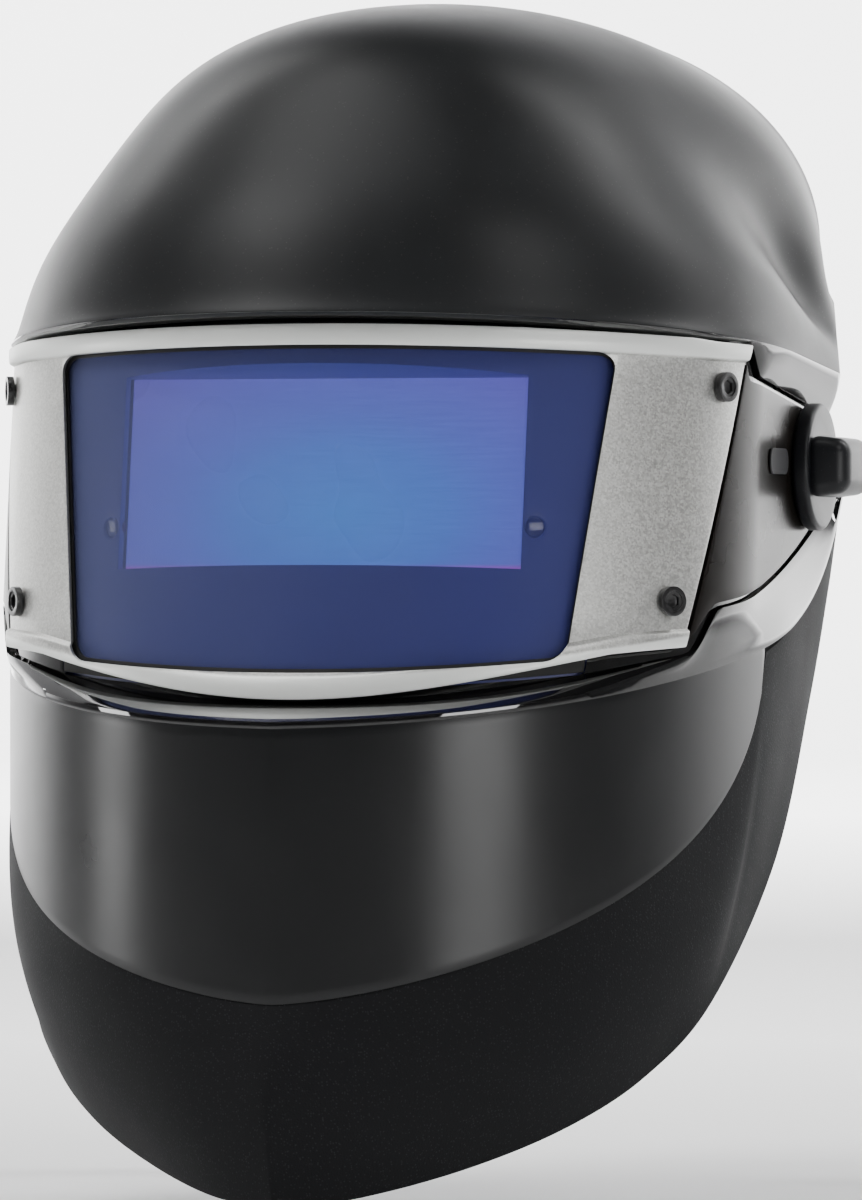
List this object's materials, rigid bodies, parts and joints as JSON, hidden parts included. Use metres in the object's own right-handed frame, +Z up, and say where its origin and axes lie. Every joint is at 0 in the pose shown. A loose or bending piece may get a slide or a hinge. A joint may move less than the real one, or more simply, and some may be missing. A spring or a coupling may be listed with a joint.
{
  "type": "welding helmet",
  "caption": "Full-face welding helmet: domed shell with a wide auto-darkening window, chin and neck guard, lifting on side knobs over an adjustable ratchet headgear.",
  "frame": {"origin": "middle of the pivot axis between the two side knobs, the seat of the head", "axes": "+Z up, front of the helmet faces -Y, +X across the head to the wearer's left"},
  "size_m": [0.2076, 0.2825, 0.2808],
  "materials": {
    "crown_black": "satin moulded",
    "piano_black": "high gloss",
    "side_black": "high gloss",
    "chin_black": "semi gloss",
    "skirt_black": "fine grained",
    "badge_grey": "satin",
    "silver_flake": "fine metallic flake",
    "black_screw": "black oxide",
    "brass": "machined",
    "gasket": "matt",
    "cover_glass": "clear with a blue cast",
    "bezel_blue": "gloss",
    "filter_glass": "coated blue violet",
    "sensor_glass": "dark",
    "diode": "gloss",
    "housing_black": "fine texture",
    "board_green": "solder mask",
    "cell_steel": "brushed",
    "led_green": "translucent",
    "button_red": "matt",
    "button_grey": "matt",
    "clear_plate": "clear",
    "spring_steel": "bright",
    "washer_white": "smooth",
    "carrier_black": "satin",
    "stud_zinc": "zinc plated",
    "knob_black": "satin",
    "band_grey": "satin",
    "peg_black": "smooth",
    "pad_fabric": "soft knit over foam"
  },
  "bodies": {
    "headgear": {"side_plate_left": "carrier_black", "side_plate_right": "carrier_black", "plate_rivets": "stud_zinc", "front_band": "band_grey", "sweat_band": "pad_fabric", "crown_strap_left": "band_grey", "crown_strap_right": "band_grey", "strap_pegs": "peg_black", "occipital_strap": "band_grey", "nape_strap_left": "band_grey", "nape_strap_right": "band_grey", "strap_rivets": "stud_zinc"},
    "pivots": {"friction_washers": "washer_white", "pivot_carrier_left": "carrier_black", "pivot_carrier_right": "carrier_black", "pivot_stud_left": "stud_zinc", "pivot_stud_right": "stud_zinc", "knob_washers": "spring_steel"},
    "shell": {"crown_shell": "crown_black", "visor_frame": "piano_black", "chin_shell": "chin_black", "neck_skirt": "skirt_black", "side_cover_left": "side_black", "side_cover_right": "side_black", "side_badges": "badge_grey", "front_panel": "silver_flake", "panel_screws": "black_screw", "screw_inserts": "brass", "window_gasket": "gasket", "cover_lens": "cover_glass", "filter_bezel": "bezel_blue", "filter_housing": "housing_black", "filter_glass": "filter_glass", "sensor_windows": "sensor_glass", "photo_diodes": "diode", "circuit_board": "board_green", "battery_trays": "housing_black", "battery_cells": "cell_steel", "indicator_leds": "led_green", "inner_cover_plate": "clear_plate", "filter_clips": "spring_steel"},
    "knob_left": {"tension_knob_left": "knob_black"},
    "knob_right": {"tension_knob_right": "knob_black"},
    "power_button": {"power_button": "button_red"},
    "shade_button": {"shade_button": "button_grey"},
    "delay_button": {"delay_button": "button_grey"},
    "nape_unit": {"ratchet_housing": "band_grey", "ratchet_cover": "band_grey", "cover_screws": "stud_zinc", "nape_pad": "pad_fabric"},
    "dial": {"ratchet_pinion": "washer_white", "ratchet_knob": "knob_black", "ratchet_pawl": "washer_white"}
  },
  "joints": [
    {"name": "eye_distance", "type": "slide", "parent": "headgear", "child": "pivots", "axis": [0, 1, 0], "range_m": [-0.01, 0.004]},
    {"name": "helmet_lift", "type": "hinge", "parent": "pivots", "child": "shell", "pos_m": [0, 0, 0], "axis": [-1, 0, 0], "range_deg": [0, 65]},
    {"name": "knob_left_turn", "type": "hinge", "parent": "pivots", "child": "knob_left", "pos_m": [0, 0, 0], "axis": [1, 0, 0], "range_deg": [-180, 180]},
    {"name": "knob_right_turn", "type": "hinge", "parent": "pivots", "child": "knob_right", "pos_m": [0, 0, 0], "axis": [1, 0, 0], "range_deg": [-180, 180]},
    {"name": "band_size", "type": "slide", "parent": "headgear", "child": "nape_unit", "axis": [0, -1, 0], "range_m": [-0.008, 0.012], "deforming": ["nape_strap_left", "nape_strap_right"]},
    {"name": "dial_turn", "type": "hinge", "parent": "nape_unit", "child": "dial", "pos_m": [0, 0.127, -0.04648], "axis": [0, -1, 0], "range_deg": [-100, 145]},
    {"name": "power_button_press", "type": "slide", "parent": "shell", "child": "power_button", "axis": [0, -0.9889, 0.1483], "range_m": [0, 0.0008], "stiffness_N_per_m": 1500},
    {"name": "shade_button_press", "type": "slide", "parent": "shell", "child": "shade_button", "axis": [0, -0.9889, 0.1483], "range_m": [0, 0.0008], "stiffness_N_per_m": 1500},
    {"name": "delay_button_press", "type": "slide", "parent": "shell", "child": "delay_button", "axis": [0, -0.9889, 0.1483], "range_m": [0, 0.0008], "stiffness_N_per_m": 1500}
  ],
  "couplings": [
    {"joint": "dial_turn", "follows": "band_size", "rad_per_m": 200}
  ]
}
